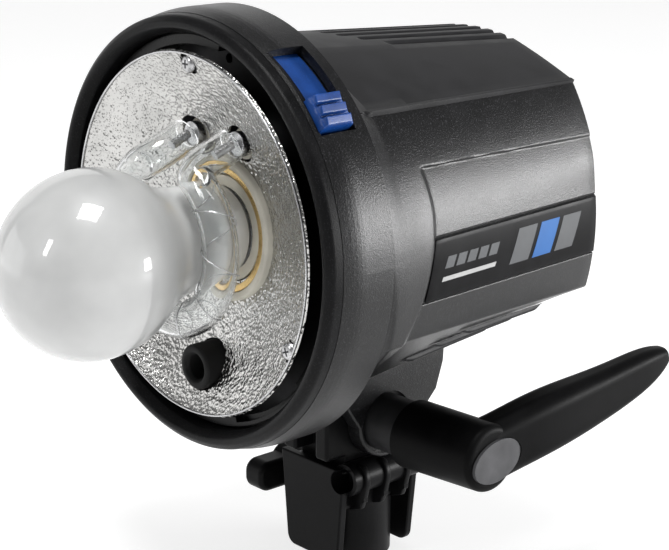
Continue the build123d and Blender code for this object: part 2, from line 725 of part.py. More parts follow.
def lever_screw():
    """Screw in the core's end that holds the handle and its spring."""
    return rod_x(0, TILT_Z, 2.9, CORE_END + 0.02, 60.5) + rod_x(0, TILT_Z, 5.4, 60.4, 63.4)


def lever_spring():
    """Spring between the handle's web and the screw's head."""
    return rod_x(0, TILT_Z, 5.3, WEB_END + 0.1, 60.3) - rod_x(0, TILT_Z, 3.4, 40, 70)


ARM_STATIONS = [  # y, z from the tilt axis; half height; inner and outer face
    (3.0, 0.9, 10.6, 53.0, 67.2),
    (22.0, 5.2, 10.5, 56.0, 70.0),
    (46.0, 9.3, 9.4, 59.2, 71.2),
    (66.0, 13.0, 7.7, 61.2, 71.4),
    (78.0, 15.9, 5.7, 62.2, 71.2),
    (84.5, 17.6, 3.3, 63.6, 70.2),
]


def arm_face(station, heading):
    """Rounded cross section of the arm, square to its path."""
    y, z, half, inner, outer = station
    width = outer - inner
    plane = Plane(origin=((inner + outer) / 2, y, z + TILT_Z), x_dir=(1, 0, 0),
                  z_dir=(0, cos(heading), sin(heading)))
    radius = min(width, 2 * half) * 0.38
    return plane * RectangleRounded(width, 2 * half, radius)


def hub_face(x, lift, radius):
    """Round cross section of the hub, a little above or below the tilt axis."""
    return Plane(origin=(x, 0, TILT_Z + lift), x_dir=(0, 1, 0), z_dir=(1, 0, 0)) * Circle(radius)


def lever_handle():
    headings = []
    for i in range(len(ARM_STATIONS)):
        a = ARM_STATIONS[max(i - 1, 0)]
        b = ARM_STATIONS[min(i + 1, len(ARM_STATIONS) - 1)]
        headings.append(atan2(b[1] - a[1], b[0] - a[0]))
    arm = loft([arm_face(s, h) for s, h in zip(ARM_STATIONS, headings)])
    hub = loft([hub_face(HUB_START, -0.6, 11.8), hub_face(HUB_END, 0.8, 11.3)])
    hub = fillet(hub.edges().group_by(Axis.X)[-1], 2.4)
    handle = hub + arm
    handle -= rod_x(0, TILT_Z, 7.0 + SHAFT_CLEARANCE, HUB_START - 1, WEB_START)
    handle -= rod_x(0, TILT_Z, 3.1, HUB_START, 60)
    handle -= rod_x(0, TILT_Z, 6.8, WEB_END, 65.7)
    return handle - cap_shape(0.1, 65.6)


def cap_shape(grow, start):
    plane = Plane(origin=(start, 1.2, TILT_Z + 0.1), x_dir=(0, 1, 0), z_dir=(1, 0, 0))
    return extrude(plane * Rot(0, 0, 10) * Ellipse(10.6 + grow, 6.9 + grow), amount=7.0)


def lever_cap():
    oval = cap_shape(0.0, 65.65)
    return oval & block(60, 68.1, -20, 20, 30, 70)


# ---- assembly -----------------------------------------------------------------------
save("front_ring", front_ring())
save("collar", collar())
save("bayonet_seat", bayonet_seat())
save("lock_ring", lock_ring())
save("lock_slider", lock_slider())
save("reflector", reflector())
save("reflector_screws", *[reflector_screw(x, z) for x, z in screw_places()])
save("reflector_carrier", carrier())
save("umbrella_tube", umbrella_tube())
save("lamp_holder", lamp_holder())
save("modelling_lamp_cap", lamp_cap())
save("modelling_lamp_glass", lamp_glass())
save("flash_tube_glass", flash_tube())
save("flash_tube_pins", *tube_pins())
save("flash_tube_contacts", *tube_contacts())
save("trigger_wire", trigger_wire())
save("lower_shell", lower_shell())
save("top_cover", top_cover())
save("side_badge_right", side_badge(1))
save("side_badge_left", side_badge(-1))
save("belly_louvres", *belly_louvres())
save("tilt_ear_right", tilt_ear(1))
save("tilt_ear_left", tilt_ear(-1))
save("tilt_nut", tilt_nut())
save("rear_panel", rear_panel())
for number, (bx, bz) in enumerate(BUTTON_PLACES, start=1):
    save(f"panel_button_{number}", panel_button(bx, bz))
save("display_window", display_window())
save("mains_inlet", mains_inlet())
save("inlet_pins", *inlet_pins())
save("rocker_frame", rocker_frame())
save("rocker_switch", rocker_switch())
save("fuse_sleeve", fuse_sleeve())
save("fuse_cap", fuse_cap())
save("sync_jack", sync_jack())
save("photocell_dome", photocell_dome())
save("panel_screws", *panel_screws())
save("capacitors", *capacitors())
save("main_board", main_board())
save("board_parts", *board_parts())
save("control_board", control_board())
save("trigger_coil", trigger_coil())
save("fan_frame", fan_frame())
save("fan_impeller", fan_impeller())
save("stand_bracket", stand_bracket())
save("knob_insert", knob_insert())
save("clamp_screw", clamp_screw())
save("clamp_knob", clamp_knob())
save("tilt_washers", *tilt_washers())
save("tilt_bolt", tilt_bolt())
save("lever_spacer", lever_spacer())
save("lever_screw", lever_screw())
save("lever_spring", lever_spring())
save("lever_handle", lever_handle())
save("lever_cap", lever_cap())
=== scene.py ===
"""Looks of the monolight strobe: detailed pieces, materials, floor, lights and camera.

+X is the lever side, -Y the direction of the light and +Z up, in metres.
Shapes are worked out in millimetres and scaled when their mesh is made.
"""
import json
from math import asin, cos, hypot, pi, radians, sin, sqrt

import bmesh
import bpy
from mathutils import Matrix, Vector, noise


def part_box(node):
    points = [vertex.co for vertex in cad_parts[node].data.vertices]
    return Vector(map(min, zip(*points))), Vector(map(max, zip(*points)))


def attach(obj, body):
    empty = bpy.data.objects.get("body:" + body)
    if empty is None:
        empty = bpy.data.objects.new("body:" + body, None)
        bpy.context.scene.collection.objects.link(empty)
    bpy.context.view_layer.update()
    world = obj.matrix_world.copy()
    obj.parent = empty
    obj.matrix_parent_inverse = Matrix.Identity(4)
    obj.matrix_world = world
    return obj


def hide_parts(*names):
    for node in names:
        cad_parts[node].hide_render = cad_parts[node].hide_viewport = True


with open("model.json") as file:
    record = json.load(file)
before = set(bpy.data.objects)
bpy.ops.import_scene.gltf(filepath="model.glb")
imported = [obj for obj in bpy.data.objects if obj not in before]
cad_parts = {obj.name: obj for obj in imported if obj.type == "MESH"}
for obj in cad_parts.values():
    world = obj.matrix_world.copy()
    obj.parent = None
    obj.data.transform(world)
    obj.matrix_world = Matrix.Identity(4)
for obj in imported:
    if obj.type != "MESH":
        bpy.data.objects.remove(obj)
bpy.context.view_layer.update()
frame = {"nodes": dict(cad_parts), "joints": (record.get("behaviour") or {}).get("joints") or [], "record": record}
MM = 0.001


# ---- sizes read from the frame, in millimetres ------------------------------
def low(node):
    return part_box(node)[0] / MM


def high(node):
    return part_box(node)[1] / MM


def joint_place(name):
    place = next(j for j in frame["joints"] if j["name"] == name)["pos_m"]
    return Vector(place) / MM


AXIS_Z = joint_place("lock_slide").z
COLLAR_BACK = high("collar").y
SHOULDER_BACK = COLLAR_BACK + 6.5
SHELL_BACK = high("lower_shell").y
KEEL_HALF = -high("tilt_ear_left").x - 0.05
KEEL_LOW = low("lower_shell").z - AXIS_Z
RING_FRONT = low("front_ring").y
RING_BACK = high("front_ring").y
RING_R = high("front_ring").x
DISH_R = high("reflector").x
CONTACTS = high("flash_tube_contacts").x - 5.0, high("flash_tube_contacts").z - AXIS_Z - 5.0
UMBRELLA = (low("umbrella_tube").z + high("umbrella_tube").z) / 2 - AXIS_Z


# ---- outlines ---------------------------------------------------------------
def mix(a, b, t):
    return a + (b - a) * t


def ease(t):
    """Smooth step from 0 to 1."""
    t = min(max(t, 0.0), 1.0)
    return t * t * (3 - 2 * t)


def rounded(corners, closed=True, steps=6):
    """Points of a 2-D outline whose corners (u, v, radius) are rounded by arcs."""
    count = len(corners)
    points = []
    for i, (u, v, radius) in enumerate(corners):
        here = Vector((u, v))
        if radius <= 0 or (not closed and i in (0, count - 1)):
            points.append((u, v))
            continue
        before = Vector(corners[i - 1][:2]) - here
        after = Vector(corners[(i + 1) % count][:2]) - here
        half = before.angle(after) / 2
        reach = min(radius / max(sin(half) / cos(half), 1e-6), 0.49 * before.length, 0.49 * after.length)
        radius = reach * sin(half) / cos(half)
        centre = here + (before.normalized() + after.normalized()).normalized() * hypot(reach, radius)
        start = here + before.normalized() * reach - centre
        end = here + after.normalized() * reach - centre
        turn = start.angle_signed(end)
        for k in range(steps + 1):
            a = -turn * k / steps
            points.append((centre.x + start.x * cos(a) - start.y * sin(a),
                           centre.y + start.x * sin(a) + start.y * cos(a)))
    return points


# ---- mesh making ------------------------------------------------------------
def grid_faces(rows, columns, wrap_rows=False, wrap_columns=False):
    """Faces of a grid whose vertices are numbered row by row."""
    faces = []
    for i in range(rows if wrap_rows else rows - 1):
        for j in range(columns if wrap_columns else columns - 1):
            i2, j2 = (i + 1) % rows, (j + 1) % columns
            faces.append((i * columns + j, i * columns + j2, i2 * columns + j2, i2 * columns + j))
    return faces


def make(name, points, faces, body, slot, replaces=(), sharp=38, look=None):
    """A piece from points in millimetres: closed up, smooth, riding on its body.

    look names its material where that isn't the one its slot names.
    """
    mesh = bpy.data.meshes.new(name)
    mesh.from_pydata([tuple(c * MM for c in p) for p in points], [], faces)
    shape = bmesh.new()
    shape.from_mesh(mesh)
    bmesh.ops.remove_doubles(shape, verts=shape.verts, dist=1e-6)
    bmesh.ops.dissolve_degenerate(shape, dist=1e-7, edges=shape.edges)
    bmesh.ops.recalc_face_normals(shape, faces=shape.faces)
    shape.to_mesh(mesh)
    shape.free()
    mesh.materials.append(MATERIALS[look or slot])
    mesh.shade_smooth()
    mesh.set_sharp_from_angle(angle=radians(sharp))
    piece = bpy.data.objects.new(name, mesh)
    bpy.context.scene.collection.objects.link(piece)
    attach(piece, body)
    if replaces:
        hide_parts(*replaces)
    return piece


def settle(piece, sharp=38):
    """Turns the piece's modifiers into its mesh."""
    depsgraph = bpy.context.evaluated_depsgraph_get()
    mesh = bpy.data.meshes.new_from_object(piece.evaluated_get(depsgraph))
    piece.modifiers.clear()
    piece.data = mesh
    mesh.shade_smooth()
    mesh.set_sharp_from_angle(angle=radians(sharp))


def bevel(piece, width, segments, angle):
    """Rounds the piece's edges that are sharper than an angle."""
    edge = piece.modifiers.new("edge", "BEVEL")
    edge.width = width * MM
    edge.segments = segments
    edge.limit_method = "ANGLE"
    edge.angle_limit = radians(angle)
    settle(piece, 60)


def lathe(name, outline, body, slot, replaces=(), centre=None, steps=160, sharp=38):
    """Closed outline of (radius, y) turned about an axis along Y through centre."""
    centre_x, centre_y, centre_z = centre or (0.0, 0.0, AXIS_Z)
    turns = [2 * pi * i / steps for i in range(steps)]
    points = [(centre_x + r * sin(a), centre_y + y, centre_z + r * cos(a)) for a in turns for r, y in outline]
    faces = grid_faces(steps, len(outline), wrap_rows=True, wrap_columns=True)
    return make(name, points, faces, body, slot, replaces, sharp)


def tube_points(path, radius, sides):
    """Round tube along a path of points: a ring of points at each."""
    path = [Vector(p) for p in path]
    points = []
    across = None
    for i, here in enumerate(path):
        before, after = path[max(i - 1, 0)], path[min(i + 1, len(path) - 1)]
        run = (after - before).normalized()
        if across is None:
            across = run.orthogonal().normalized()
        across = (across - run * across.dot(run)).normalized()
        other = run.cross(across)
        for k in range(sides):
            a = 2 * pi * k / sides
            points.append(here + across * (radius * cos(a)) + other * (radius * sin(a)))
    return points


def tube(name, path, radius, body, slot, replaces=(), sides=16):
    """Round tube with closed ends."""
    rows = len(path)
    faces = grid_faces(rows, sides, wrap_columns=True)
    faces.append(tuple(range(sides)))
    faces.append(tuple(range((rows - 1) * sides, rows * sides))[::-1])
    return make(name, tube_points(path, radius, sides), faces, body, slot, replaces)


# ---- materials --------------------------------------------------------------
class Finish:
    """One procedural material, built node by node on a Principled shader."""

    def __init__(self, name, **sockets):
        self.material = bpy.data.materials.new(name)
        self.material.use_nodes = True
        self.tree = self.material.node_tree
        self.shader = self.tree.nodes["Principled BSDF"]
        for socket, value in sockets.items():
            self.shader.inputs[socket.replace("_", " ")].default_value = value
        self.place = self.tree.nodes.new("ShaderNodeTexCoord").outputs["Object"]
        self.normal = None

    def node(self, kind, **values):
        made = self.tree.nodes.new(kind)
        for name, value in values.items():
            setattr(made, name, value)
        return made

    def feed(self, made, **inputs):
        """Links sockets and sets numbers on a node's inputs."""
        for name, value in inputs.items():
            socket = made.inputs[name.replace("_", " ")]
            if isinstance(value, bpy.types.NodeSocket):
                self.tree.links.new(value, socket)
            else:
                socket.default_value = value
        return made

    def noise(self, size, detail=2.0, roughness=0.5):
        """Noise whose features are size millimetres across."""
        made = self.feed(self.node("ShaderNodeTexNoise"), Vector=self.place,
                         Scale=1.0 / (size * MM), Detail=detail, Roughness=roughness)
        return made.outputs["Fac"]

    def cells(self, size, feature):
        """Voronoi distance with cells size millimetres across."""
        made = self.feed(self.node("ShaderNodeTexVoronoi", feature=feature), Vector=self.place,
                         Scale=1.0 / (size * MM))
        return made.outputs["Distance"]

    def spread(self, value, start, end, low, high):
        """Value carried from start..end to low..high and kept inside it."""
        made = self.node("ShaderNodeMapRange", clamp=True)
        for name, number in zip(("From Min", "From Max", "To Min", "To Max"), (start, end, low, high)):
            made.inputs[name].default_value = number
        self.tree.links.new(value, made.inputs["Value"])
        return made.outputs["Result"]

    def blend(self, factor, first, second):
        """Mix of two colours, each a socket or three numbers, by a socket."""
        made = self.node("ShaderNodeMix", data_type="RGBA")
        for index, value in ((0, factor), (6, first), (7, second)):      # factor, A and B of a colour mix
            if isinstance(value, bpy.types.NodeSocket):
                self.tree.links.new(value, made.inputs[index])
            else:
                made.inputs[index].default_value = (*value, 1.0)
        return made.outputs[2]

    def between(self, noise_value, first, second):
        """Two colours mixed by a noise."""
        return self.blend(self.spread(noise_value, 0.3, 0.7, 0.0, 1.0), first, second)

    def colour(self, value):
        self.tree.links.new(value, self.shader.inputs["Base Color"])
        return self

    def rough(self, value):
        self.tree.links.new(value, self.shader.inputs["Roughness"])
        return self

    def soften_edges(self, radius):
        """Rounds the look of hard edges a little."""
        made = self.feed(self.node("ShaderNodeBevel", samples=4), Radius=radius * MM)
        self.normal = made.outputs["Normal"]
        return self

    def painted_edge_highlight(self, amount):
        """Mask of the edges, broken up by noise, for a painted highlight along them."""
        flat = self.node("ShaderNodeNewGeometry").outputs["Normal"]
        bend = self.node("ShaderNodeVectorMath", operation="DOT_PRODUCT")
        self.tree.links.new(self.normal, bend.inputs[0])
        self.tree.links.new(flat, bend.inputs[1])
        edge = self.spread(bend.outputs["Value"], 0.80, 0.985, amount, 0.0)
        patches = self.spread(self.noise(2.5, 3.0), 0.35, 0.65, 0.25, 1.0)
        both = self.node("ShaderNodeMath", operation="MULTIPLY")
        self.tree.links.new(edge, both.inputs[0])
        self.tree.links.new(patches, both.inputs[1])
        return both.outputs["Value"]

    def bump(self, height, depth, strength=1.0):
        """Bump of depth millimetres, laid over the normal so far."""
        made = self.feed(self.node("ShaderNodeBump"), Height=height, Distance=depth * MM, Strength=strength)
        if self.normal:
            self.feed(made, Normal=self.normal)
        self.normal = made.outputs["Normal"]
        self.tree.links.new(self.normal, self.shader.inputs["Normal"])
        return self


def tinted(colour, factor):
    return tuple(min(c * factor, 1.0) for c in colour)


def plastic(name, colour, roughness, grain=0.35, depth=0.02, vary=0.25, soft_edge=0.25, glint_speck=0.0,
            edge_highlight=1.0, patchy=0.055, **sockets):
    """Moulded plastic: grain, slow changes of shade and gloss, lighter specks painted in as glints, edges painted
    lighter as a highlight.

    grain, depth and soft_edge are in millimetres; vary, patchy and the amounts of painted glint specks and painted
    edge highlight are shares.
    """
    sockets.setdefault("Specular_IOR_Level", 0.11)
    made = Finish(name, **sockets)
    cloud = made.noise(9.0, 3.0)
    grains = made.noise(grain, 2.0, 0.6)
    shade = made.between(cloud, tinted(colour, 1 - vary), tinted(colour, 1 + vary))
    if glint_speck:
        # Lighter specks painted into the colour: painted glints of the grain.
        painted_glints = made.spread(made.noise(grain * 1.3, 1.0), 0.60, 0.72, 0.0, 1.0)
        shade = made.blend(painted_glints, shade, tinted(colour, 1 + glint_speck))
    made.rough(made.spread(cloud, 0.25, 0.75, roughness - patchy, roughness + patchy))
    if soft_edge:
        made.soften_edges(soft_edge)
        # Edges painted lighter: a painted highlight along them, broken up by noise.
        shade = made.blend(made.painted_edge_highlight(edge_highlight), shade, tinted(colour, 3.2))
    made.colour(shade)
    return made.bump(grains, depth).material


def metal(name, colour, roughness):
    """Turned or pressed metal, with fine grain and slow changes of shade."""
    made = Finish(name, Metallic=1.0)
    streaks = made.noise(0.6, 3.0, 0.6)
    cloud = made.noise(6.0, 3.0)
    made.colour(made.between(cloud, tinted(colour, 0.82), tinted(colour, 1.08)))
    made.rough(made.spread(streaks, 0.3, 0.7, roughness - 0.07, roughness + 0.1))
    made.soften_edges(0.2)
    return made.bump(streaks, 0.01).material


def hammered_metal():
    """Bright pebbled aluminium of the dish."""
    made = Finish("reflector_alu", Metallic=1.0)
    pebbles = made.cells(0.95, "SMOOTH_F1")
    fine = made.noise(0.4, 2.0)
    cloud = made.noise(14.0, 2.0)
    made.colour(made.between(cloud, (0.50, 0.497, 0.485), (0.62, 0.615, 0.60)))
    made.rough(made.spread(fine, 0.3, 0.7, 0.14, 0.26))
    made.bump(pebbles, 0.48, 1.0)
    return made.bump(fine, 0.03, 0.6).material


def frosted_glass():
    """Milky bulb glass: bright and a little clearer at the bulb, whiter down the neck."""
    made = Finish("frosted_glass", IOR=1.47, Coat_Weight=1.0, Coat_Roughness=0.02)
    along = made.feed(made.node("ShaderNodeSeparateXYZ"), Vector=made.place).outputs["Y"]
    neck = made.spread(along, -0.098, -0.070, 0.0, 1.0)
    frost = made.noise(0.5, 3.0)
    cloud = made.noise(11.0, 2.0)
    white = made.between(cloud, (0.61, 0.615, 0.612), (0.67, 0.675, 0.67))
    made.colour(made.blend(neck, white, (0.93, 0.94, 0.935)))
    made.rough(made.spread(frost, 0.3, 0.7, 0.34, 0.46))
    clear = made.spread(neck, 0.0, 1.0, 0.22, 0.12)
    made.tree.links.new(clear, made.shader.inputs["Transmission Weight"])
    return made.bump(frost, 0.01, 0.3).material


def clear_glass():
    """Clear drawn glass with slow waves in it."""
    made = Finish("clear_glass", IOR=1.46, Transmission_Weight=1.0)
    waves = made.noise(5.0, 2.0)
    made.colour(made.between(waves, (0.94, 0.96, 0.96), (0.99, 0.99, 0.99)))
    made.rough(made.spread(waves, 0.3, 0.7, 0.0, 0.03))
    return made.bump(waves, 0.05, 0.25).material


def circuit_board():
    """Green lacquer with lighter tracks."""
    made = Finish("board_green", Roughness=0.4)
    tracks = made.cells(2.2, "DISTANCE_TO_EDGE")
    bare = made.spread(tracks, 0.03, 0.09, 0.0, 1.0)
    made.colour(made.blend(bare, (0.035, 0.22, 0.10), (0.02, 0.12, 0.05)))
    return made.bump(tracks, 0.05, 0.4).material


MATERIALS = {
    "steel_black": metal("steel_black", (0.05, 0.05, 0.052), 0.45),
    "channel_black": plastic("channel_black", (0.004, 0.004, 0.0042), 0.30, grain=0.6, depth=0.015,
                             Specular_IOR_Level=0.16),
    "spacer_grey": plastic("spacer_grey", (0.022, 0.022, 0.023), 0.45, grain=0.4, depth=0.015),
    "print_grey": plastic("print_grey", (0.085, 0.088, 0.092), 0.5, grain=0.5, depth=0.004, vary=0.08,
                          soft_edge=0.0),
    "print_blue": plastic("print_blue", (0.030, 0.105, 0.29), 0.5, grain=0.5, depth=0.004, vary=0.08,
                          soft_edge=0.0),
    "print_white": plastic("print_white", (0.34, 0.34, 0.34), 0.5, grain=0.5, depth=0.004, vary=0.06,
                          soft_edge=0.0),
    "ring_black": plastic("ring_black", (0.005, 0.005, 0.0054), 0.34, grain=0.30, depth=0.08, glint_speck=3.0,
                          Specular_IOR_Level=0.10),
    "shell_charcoal": plastic("shell_charcoal", (0.0045, 0.0045, 0.0049), 0.30, grain=0.38, depth=0.095,
                              soft_edge=0.0, glint_speck=6.0, patchy=0.012, Specular_IOR_Level=0.30),
    "cover_grey": plastic("cover_grey", (0.015, 0.015, 0.016), 0.46, grain=0.30, depth=0.012, soft_edge=0.0),
    "badge_black": plastic("badge_black", (0.006, 0.006, 0.0065), 0.34, grain=0.8, depth=0.004,
                           Specular_IOR_Level=0.05),
    "lock_blue": plastic("lock_blue", (0.004, 0.036, 0.170), 0.34, grain=0.35, depth=0.02, glint_speck=0.4,
                         edge_highlight=0.7, Specular_IOR_Level=0.4),
    "reflector_alu": hammered_metal(),
    "steel": metal("steel", (0.60, 0.60, 0.61), 0.28),
    "brass": metal("brass", (0.70, 0.50, 0.22), 0.30),
    "ceramic_white": plastic("ceramic_white", (0.72, 0.69, 0.60), 0.55, grain=0.5, depth=0.02, vary=0.08),
    "frosted_glass": frosted_glass(),
    "clear_glass": clear_glass(),
    "rubber_black": plastic("rubber_black", (0.012, 0.012, 0.012), 0.55, grain=0.5, depth=0.02),
    "bracket_black": plastic("bracket_black", (0.004, 0.004, 0.0043), 0.38, grain=0.45, depth=0.02, glint_speck=0.5,
                             Specular_IOR_Level=0.08),
    "lever_black": plastic("lever_black", (0.003, 0.003, 0.0032), 0.46, grain=0.5, depth=0.02, glint_speck=0.4,
                           soft_edge=0.0, Specular_IOR_Level=0.05),
    "cap_grey": plastic("cap_grey", (0.06, 0.06, 0.063), 0.48, grain=0.4, depth=0.015),
    "button_grey": plastic("button_grey", (0.10, 0.10, 0.105), 0.55, grain=0.4, depth=0.015),
    "display_dark": plastic("display_dark", (0.006, 0.007, 0.009), 0.08, grain=3.0, depth=0.002, vary=0.1,
                            soft_edge=0.0),
    "inlet_black": plastic("inlet_black", (0.014, 0.014, 0.014), 0.42, grain=0.4, depth=0.02),
    "cell_clear": plastic("cell_clear", (0.35, 0.04, 0.03), 0.12, grain=2.0, depth=0.002, vary=0.1,
                          Transmission_Weight=0.5),
    "board_green": circuit_board(),
    "part_dark": plastic("part_dark", (0.03, 0.03, 0.035), 0.45, grain=0.6, depth=0.02),
    "capacitor_sleeve": plastic("capacitor_sleeve", (0.02, 0.03, 0.06), 0.25, grain=2.0, depth=0.01),
}


# CAD nodes whose finish differs from the one their slot names.
SPECIAL = {"bayonet_seat": "channel_black", "lock_ring": "channel_black", "reflector_carrier": "steel_black",
           "lever_spacer": "spacer_grey"}


def dress_cad_nodes():
    """Every CAD node gets its record slot's material."""
    for part in frame["record"]["subparts"]:
        node = frame["nodes"][part["node"]]
        node.data.materials.clear()
        node.data.materials.append(MATERIALS[SPECIAL.get(part["node"], part["material_slot"])])


# ---- floor, lights, camera --------------------------------------------------
def floor():
    """Pale floor that curves up into a wall behind the object, turned square to the camera."""
    size, wall, bend, gap, turn = 9.0, 6.0, 3.0, 0.0004, 48
    rows = [(-size, 0)]
    for i in range(13):
        a = radians(90 * i / 12)
        rows.append((size - bend + bend * sin(a), bend - bend * cos(a)))
    rows.append((size, wall))
    points = [(x, y, z - gap) for y, z in rows for x in (-size, size)]
    mesh = bpy.data.meshes.new("studio_floor")
    mesh.from_pydata(points, [], grid_faces(len(rows), 2))
    mesh.shade_smooth()
    sheet = bpy.data.objects.new("studio_floor", mesh)
    sheet.rotation_euler = (0, 0, radians(turn))
    bpy.context.scene.collection.objects.link(sheet)
    made = Finish("studio_floor", Roughness=0.7, Emission_Color=(1.0, 1.0, 1.0, 1.0), Emission_Strength=0.70)
    soft = made.noise(400.0, 2.0)
    made.colour(made.between(soft, (0.48, 0.48, 0.48), (0.50, 0.50, 0.50)))
    mesh.materials.append(made.material)


def softbox(name, place, target, width, height, power):
    """Rectangular light at place, turned to its target."""
    lamp = bpy.data.lights.new(name, "AREA")
    lamp.shape = "RECTANGLE"
    lamp.size, lamp.size_y = width, height
    lamp.energy = power
    holder = bpy.data.objects.new(name, lamp)
    holder.location = place
    aim = Vector(target) - Vector(place)
    holder.rotation_euler = aim.to_track_quat("-Z", "Y").to_euler()
    bpy.context.scene.collection.objects.link(holder)


def lights():
    world = bpy.data.worlds.new("studio")
    world.use_nodes = True
    world.node_tree.nodes["Background"].inputs["Color"].default_value = (1, 1, 1, 1)
    world.node_tree.nodes["Background"].inputs["Strength"].default_value = 0.24
    bpy.context.scene.world = world
    middle = (0.0, 0.0, 0.12)
    softbox("side_softbox", (0.86, 0.84, 0.20), middle, 0.74, 0.24, 21.0)
    softbox("top_softbox", (0.15, -0.22, 1.15), middle, 0.38, 0.38, 9.0)
    softbox("front_softbox", (-1.1, -0.95, 0.22), middle, 1.1, 0.8, 3.0)
    softbox("key_strip", (-0.06, -1.00, 0.66), (0.0, -0.1, 0.14), 0.10, 0.30, 2.2)


# Place (metres) and turns (degrees) of the camera, and its lens on a 36 mm wide sensor.
CAMERA_PLACE = (0.43305, -0.39697, 0.26471)
CAMERA_AZIMUTH = 48.078
CAMERA_ELEVATION = 15.721
CAMERA_ROLL = 0.149
LENS = 96.86


def camera():
    a, e, roll = (radians(v) for v in (CAMERA_AZIMUTH, CAMERA_ELEVATION, CAMERA_ROLL))
    ahead = Vector((-sin(a) * cos(e), cos(a) * cos(e), -sin(e)))
    right = Vector((cos(a), sin(a), 0.0))
    up = right.cross(ahead)
    right, up = right * cos(roll) + up * sin(roll), up * cos(roll) - right * sin(roll)
    lens = bpy.data.cameras.new("camera")
    lens.sensor_width = 36.0
    lens.lens = LENS
    lens.clip_start, lens.clip_end = 0.01, 50.0
    eye = bpy.data.objects.new("camera", lens)
    turn = Matrix((right, up, -ahead)).transposed().to_4x4()
    eye.matrix_world = Matrix.Translation(CAMERA_PLACE) @ turn
    bpy.context.scene.collection.objects.link(eye)
    bpy.context.scene.camera = eye


# ---- housing ------------------------------------------------------------------
BELLY_X = 33.0              # half width of the flat underside
SHOULDER_X = 20.0           # half width of the arc on the top cover
COLLAR_R = 69.85
RECESS = 1.5                # depth of the side panels
PANEL_FRONT = -29.0
LABEL_LOW, LABEL_TOP = -15.0, 4.0
SEAM_GAP = 0.15             # on either side of the seam between shell and cover


def section_sizes(y):
    """Top height, shoulder z and bulge, corner x and z, side x, low corner x and z, belly z at y."""
    front = (69.2, 66.6, 4.2, 54.6, 43.4, 68.7, 64.5, -27.0, -52.0)
    middle = (59.4, 57.4, 0.8, 51.8, 42.6, 68.2, 64.0, -27.0, -51.2)
    back = (54.2, 51.8, 0.4, 46.4, 41.2, 60.4, 57.6, -28.0, -39.6)
    if y <= SHOULDER_BACK:
        t = (y - COLLAR_BACK) / (SHOULDER_BACK - COLLAR_BACK)
        sizes = [mix(p, q, t) for p, q in zip(front, middle)]
    else:
        t = (y - SHOULDER_BACK) / (SHELL_BACK - SHOULDER_BACK)
        sizes = [mix(p, q, t) for p, q in zip(middle, back)]
    flush = 1.1 * (1 - ease((y - COLLAR_BACK) / 17.0))
    sizes[5] += flush
    sizes[6] += flush
    return sizes


def circle_through(p, q, r):
    """Centre and radius of the circle through three 2-D points."""
    (ax, ay), (bx, by), (cx, cy) = p, q, r
    d = 2 * (ax * (by - cy) + bx * (cy - ay) + cx * (ay - by))
    a2, b2, c2 = ax * ax + ay * ay, bx * bx + by * by, cx * cx + cy * cy
    ux = (a2 * (by - cy) + b2 * (cy - ay) + c2 * (ay - by)) / d
    uy = (a2 * (cx - bx) + b2 * (ax - cx) + c2 * (bx - ax)) / d
    return ux, uy, hypot(ax - ux, ay - uy)


def side_x(y, z):
    """Half width of the housing's side at a height from the optical axis."""
    corner_x, corner_z, side, low_x, low_z = section_sizes(y)[3:8]
    cx, cz, r = circle_through((corner_x, corner_z), (side, 1.0), (low_x, low_z))
    return cx + sqrt(max(r * r - (z - cz) ** 2, 0.0))


def seam_z(y):
    """Height of the seam between shell and cover over the optical axis."""
    return mix(43.3, 41.5, (y - COLLAR_BACK) / (SHELL_BACK - COLLAR_BACK))


def along_curve(z, marks):
    """Value at z on straight runs between (z, value) marks, which go downwards."""
    for (z0, v0), (z1, v1) in zip(marks, marks[1:]):
        if z >= z1:
            return mix(v0, v1, min(max((z0 - z) / (z0 - z1), 0.0), 1.0))
    return marks[-1][1]


def recess_depth(y, z):
    """How far the side panel is sunk: soft ramp in front, top step that fades to the back, grooves."""
    back = (y - PANEL_FRONT) / (SHELL_BACK - PANEL_FRONT)
    start = along_curve(z, [(26, -30), (19, -28.6), (12, -28), (2, -29), (-14, -33), (-27, -38.5)])
    top = mix(26.0, 24.0, back)
    fade = 1 - 0.65 * max(back, 0.0) ** 2 * ease((z - 5.0) / 14.0)
    depth = RECESS * fade * ease((y - start) / 3.2) * ease((top - z) / 0.9)
    groove = 0.0
    for edge in (LABEL_TOP + 0.35, LABEL_LOW - 0.35):
        groove = max(groove, 0.55 * ease(1 - abs(z - edge) / 0.45))
    return depth + groove * ease((y - start - 1.2) / 0.8)


def steps(*spans):
    """Values from start to end in even steps, span after span of (start, end, count)."""
    values = []
    for start, end, count in spans:
        values += [mix(start, end, i / count) for i in range(count)]
    return values + [spans[-1][1]]


# Heights of the side's points, closer together at the panel's top and at the grooves.
SIDE_HEIGHTS = steps((41.0, 28.0, 6), (28.0, 22.5, 14), (22.5, 5.4, 8), (5.4, 3.4, 8), (3.4, -14.4, 8),
                     (-14.4, -16.4, 8), (-16.4, -24.0, 5))


def shell_outline(y):
    """Right half of the lower shell at y, from the seam down to the keel's middle."""
    low_x, low_z, belly_z = section_sizes(y)[6:]
    seam = seam_z(y) - SEAM_GAP
    keel_rises, keel_rise = 27.0, 2.2
    keel = KEEL_LOW + keel_rise * max(y - keel_rises, 0.0) / (SHELL_BACK - keel_rises)
    keel = min(keel, belly_z - 0.2)
    corners = [(side_x(y, seam), seam, 0)]
    corners += [(side_x(y, z) - recess_depth(y, z), z, 0) for z in SIDE_HEIGHTS]
    corners += [(low_x - recess_depth(y, -26.0), low_z, 2.0), (BELLY_X, belly_z, 3.0),
                (KEEL_HALF, belly_z, 0.4), (KEEL_HALF, keel, 1.4), (0, keel, 0)]
    outline = rounded(corners, closed=False, steps=6)
    return [flow_from_collar(x, z, y) for x, z in outline]


